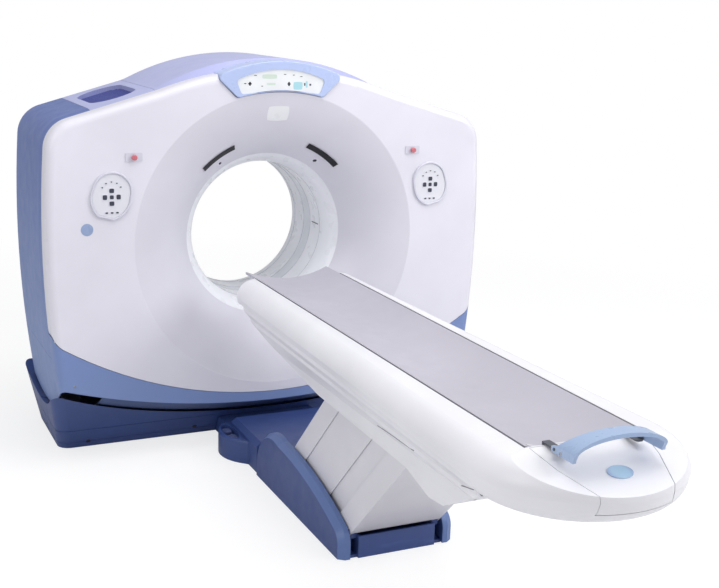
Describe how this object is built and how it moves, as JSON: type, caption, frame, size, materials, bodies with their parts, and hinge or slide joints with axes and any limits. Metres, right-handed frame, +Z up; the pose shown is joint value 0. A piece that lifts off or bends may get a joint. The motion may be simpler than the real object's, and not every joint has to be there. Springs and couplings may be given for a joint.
{
  "type": "ct scanner",
  "caption": "Medical tomography scanner: a tilting ring gantry with a wide bore on a floor base, and a lifting patient table with a sliding cradle.",
  "frame": {"origin": "on the floor, straight below the centre of the bore", "axes": "+X to the right seen from the table, +Y from the table into the bore, +Z up"},
  "size_m": [2.216, 3.83, 1.8739],
  "materials": {
    "white_cover": "satin",
    "blue_cover": "satin",
    "top_blue": "satin",
    "navy_base": "satin",
    "housing_blue": "satin",
    "display_white": "gloss",
    "liner_white": "gloss",
    "window_clear": "satin",
    "panel_grey": "satin",
    "key_white": "matt",
    "stop_red": "gloss",
    "lamp_black": "gloss",
    "table_white": "satin",
    "slat_grey": "satin",
    "cradle_grey": "satin",
    "bracket_grey": "satin",
    "handle_blue": "satin",
    "frame_paint": "satin",
    "steel": "brushed",
    "rotor_cast": "cast",
    "tube_paint": "satin",
    "detector_dark": "satin",
    "contact_resin": "satin",
    "rubber_wheel": "matt",
    "pedal_grey": "satin"
  },
  "bodies": {
    "base": {"base_frame": "frame_paint", "tilt_bearings": "steel", "tilt_drive": "frame_paint", "base_covers": "navy_base", "neck_cover": "navy_base", "foot_controls": "navy_base", "table_tray": "frame_paint", "pontoons": "navy_base", "pivot_pins_lower": "steel"},
    "gantry": {"tilt_frame": "frame_paint", "outer_race": "steel", "brush_block": "contact_resin", "cover_frame": "frame_paint", "front_cover": "white_cover", "rear_cover": "white_cover", "lower_covers": "blue_cover", "side_covers": "blue_cover", "vent_covers": "top_blue", "top_cover": "top_blue", "belly_cover": "navy_base", "display_housing": "housing_blue", "display_window": "display_white", "bore_liners": "liner_white", "scan_window": "window_clear", "control_bezels": "panel_grey", "keypads": "key_white", "status_lights": "lamp_black"},
    "rotor": {"inner_race": "steel", "rotor_drum": "rotor_cast", "xray_tube": "tube_paint", "collimator": "frame_paint", "detector": "detector_dark", "power_tanks": "tube_paint", "slip_ring": "contact_resin"},
    "stop_left": {"stop_button_left": "stop_red"},
    "stop_right": {"stop_button_right": "stop_red"},
    "pedal_lu": {"pedal_left_up": "pedal_grey"},
    "pedal_ld": {"pedal_left_down": "pedal_grey"},
    "pedal_ru": {"pedal_right_up": "pedal_grey"},
    "pedal_rd": {"pedal_right_down": "pedal_grey"},
    "head_leg": {"leg_head": "frame_paint"},
    "foot_leg": {"leg_foot": "frame_paint"},
    "head_slat": {"slat_head": "slat_grey"},
    "front_slats": {"slats_front": "slat_grey"},
    "rear_slats": {"slats_rear": "slat_grey"},
    "foot_slat": {"slat_foot": "slat_grey"},
    "table": {"pivot_pins_upper": "steel", "table_chassis": "frame_paint", "deck_pan": "rotor_cast", "table_sides": "table_white", "table_nose": "table_white", "table_underside": "table_white", "table_foot": "table_white", "foot_panel": "table_white", "foot_medallion": "handle_blue", "cradle_drive": "frame_paint"},
    "cradle": {"cradle": "cradle_grey", "cradle_brackets": "bracket_grey"},
    "release_handle": {"handle": "handle_blue"},
    "wheel": {"drive_wheel": "rubber_wheel"}
  },
  "joints": [
    {"name": "gantry_tilt", "type": "hinge", "parent": "base", "child": "gantry", "pos_m": [0, 0, 1.015], "axis": [-1, 0, 0], "range_deg": [-30, 30]},
    {"name": "rotor_spin", "type": "hinge", "parent": "gantry", "child": "rotor", "pos_m": [0, 0, 1.015], "axis": [0, 1, 0], "continuous": true},
    {"name": "table_lift", "type": "hinge", "parent": "base", "child": "head_leg", "pos_m": [0, -1.3, 0.112], "axis": [-1, 0, 0], "range_deg": [-20, 11]},
    {"name": "table_level", "type": "hinge", "parent": "head_leg", "child": "table", "pos_m": [0, -1.75255, 0.56455], "axis": [-1, 0, 0], "range_deg": [-11, 20]},
    {"name": "foot_leg_swing", "type": "hinge", "parent": "base", "child": "foot_leg", "pos_m": [0, -1.56, 0.112], "axis": [-1, 0, 0], "range_deg": [-20, 11]},
    {"name": "head_slat_swing", "type": "hinge", "parent": "base", "child": "head_slat", "pos_m": [0, -1.125, 0.112], "axis": [-1, 0, 0], "range_deg": [-20, 11]},
    {"name": "front_slats_swing", "type": "hinge", "parent": "base", "child": "front_slats", "pos_m": [0, -1.25, 0.112], "axis": [-1, 0, 0], "range_deg": [-20, 11]},
    {"name": "rear_slats_swing", "type": "hinge", "parent": "base", "child": "rear_slats", "pos_m": [0, -1.65, 0.112], "axis": [-1, 0, 0], "range_deg": [-20, 11]},
    {"name": "foot_slat_swing", "type": "hinge", "parent": "base", "child": "foot_slat", "pos_m": [0, -1.825, 0.112], "axis": [-1, 0, 0], "range_deg": [-20, 11]},
    {"name": "cradle_slide", "type": "slide", "parent": "table", "child": "cradle", "axis": [0, 1, 0], "range_m": [0, 1.7]},
    {"name": "drive_wheel_spin", "type": "hinge", "parent": "table", "child": "wheel", "pos_m": [0, -1.2, 0.8057], "axis": [-1, 0, 0], "range_deg": [-10, 3300]},
    {"name": "handle_pull", "type": "hinge", "parent": "cradle", "child": "release_handle", "pos_m": [0, -3.118, 0.912], "axis": [-1, 0, 0], "range_deg": [0, 12], "stiffness_Nm_per_rad": 3, "springref_deg": -5.73},
    {"name": "stop_left_press", "type": "slide", "parent": "gantry", "child": "stop_left", "axis": [0, 1, 0], "range_m": [0, 0.004], "stiffness_N_per_m": 900, "springref_m": -0.001},
    {"name": "stop_right_press", "type": "slide", "parent": "gantry", "child": "stop_right", "axis": [0, 1, 0], "range_m": [0, 0.004], "stiffness_N_per_m": 900, "springref_m": -0.001},
    {"name": "pedal_lu_press", "type": "hinge", "parent": "base", "child": "pedal_lu", "pos_m": [-0.2673, -0.6, 0.094], "axis": [0, -1, 0], "range_deg": [0, 8], "stiffness_Nm_per_rad": 2, "springref_deg": -3.44},
    {"name": "pedal_ld_press", "type": "hinge", "parent": "base", "child": "pedal_ld", "pos_m": [-0.2673, -0.6, 0.094], "axis": [0, -1, 0], "range_deg": [0, 8], "stiffness_Nm_per_rad": 2, "springref_deg": -3.44},
    {"name": "pedal_ru_press", "type": "hinge", "parent": "base", "child": "pedal_ru", "pos_m": [0.2673, -0.6, 0.094], "axis": [0, 1, 0], "range_deg": [0, 8], "stiffness_Nm_per_rad": 2, "springref_deg": -3.44},
    {"name": "pedal_rd_press", "type": "hinge", "parent": "base", "child": "pedal_rd", "pos_m": [0.2673, -0.6, 0.094], "axis": [0, 1, 0], "range_deg": [0, 8], "stiffness_Nm_per_rad": 2, "springref_deg": -3.44}
  ],
  "couplings": [
    {"joint": "table_level", "follows": "table_lift", "ratio": -1},
    {"joint": "foot_leg_swing", "follows": "table_lift", "ratio": 1},
    {"joint": "head_slat_swing", "follows": "table_lift", "ratio": 1},
    {"joint": "front_slats_swing", "follows": "table_lift", "ratio": 1},
    {"joint": "rear_slats_swing", "follows": "table_lift", "ratio": 1},
    {"joint": "foot_slat_swing", "follows": "table_lift", "ratio": 1},
    {"joint": "drive_wheel_spin", "follows": "cradle_slide", "rad_per_m": 33.333}
  ]
}
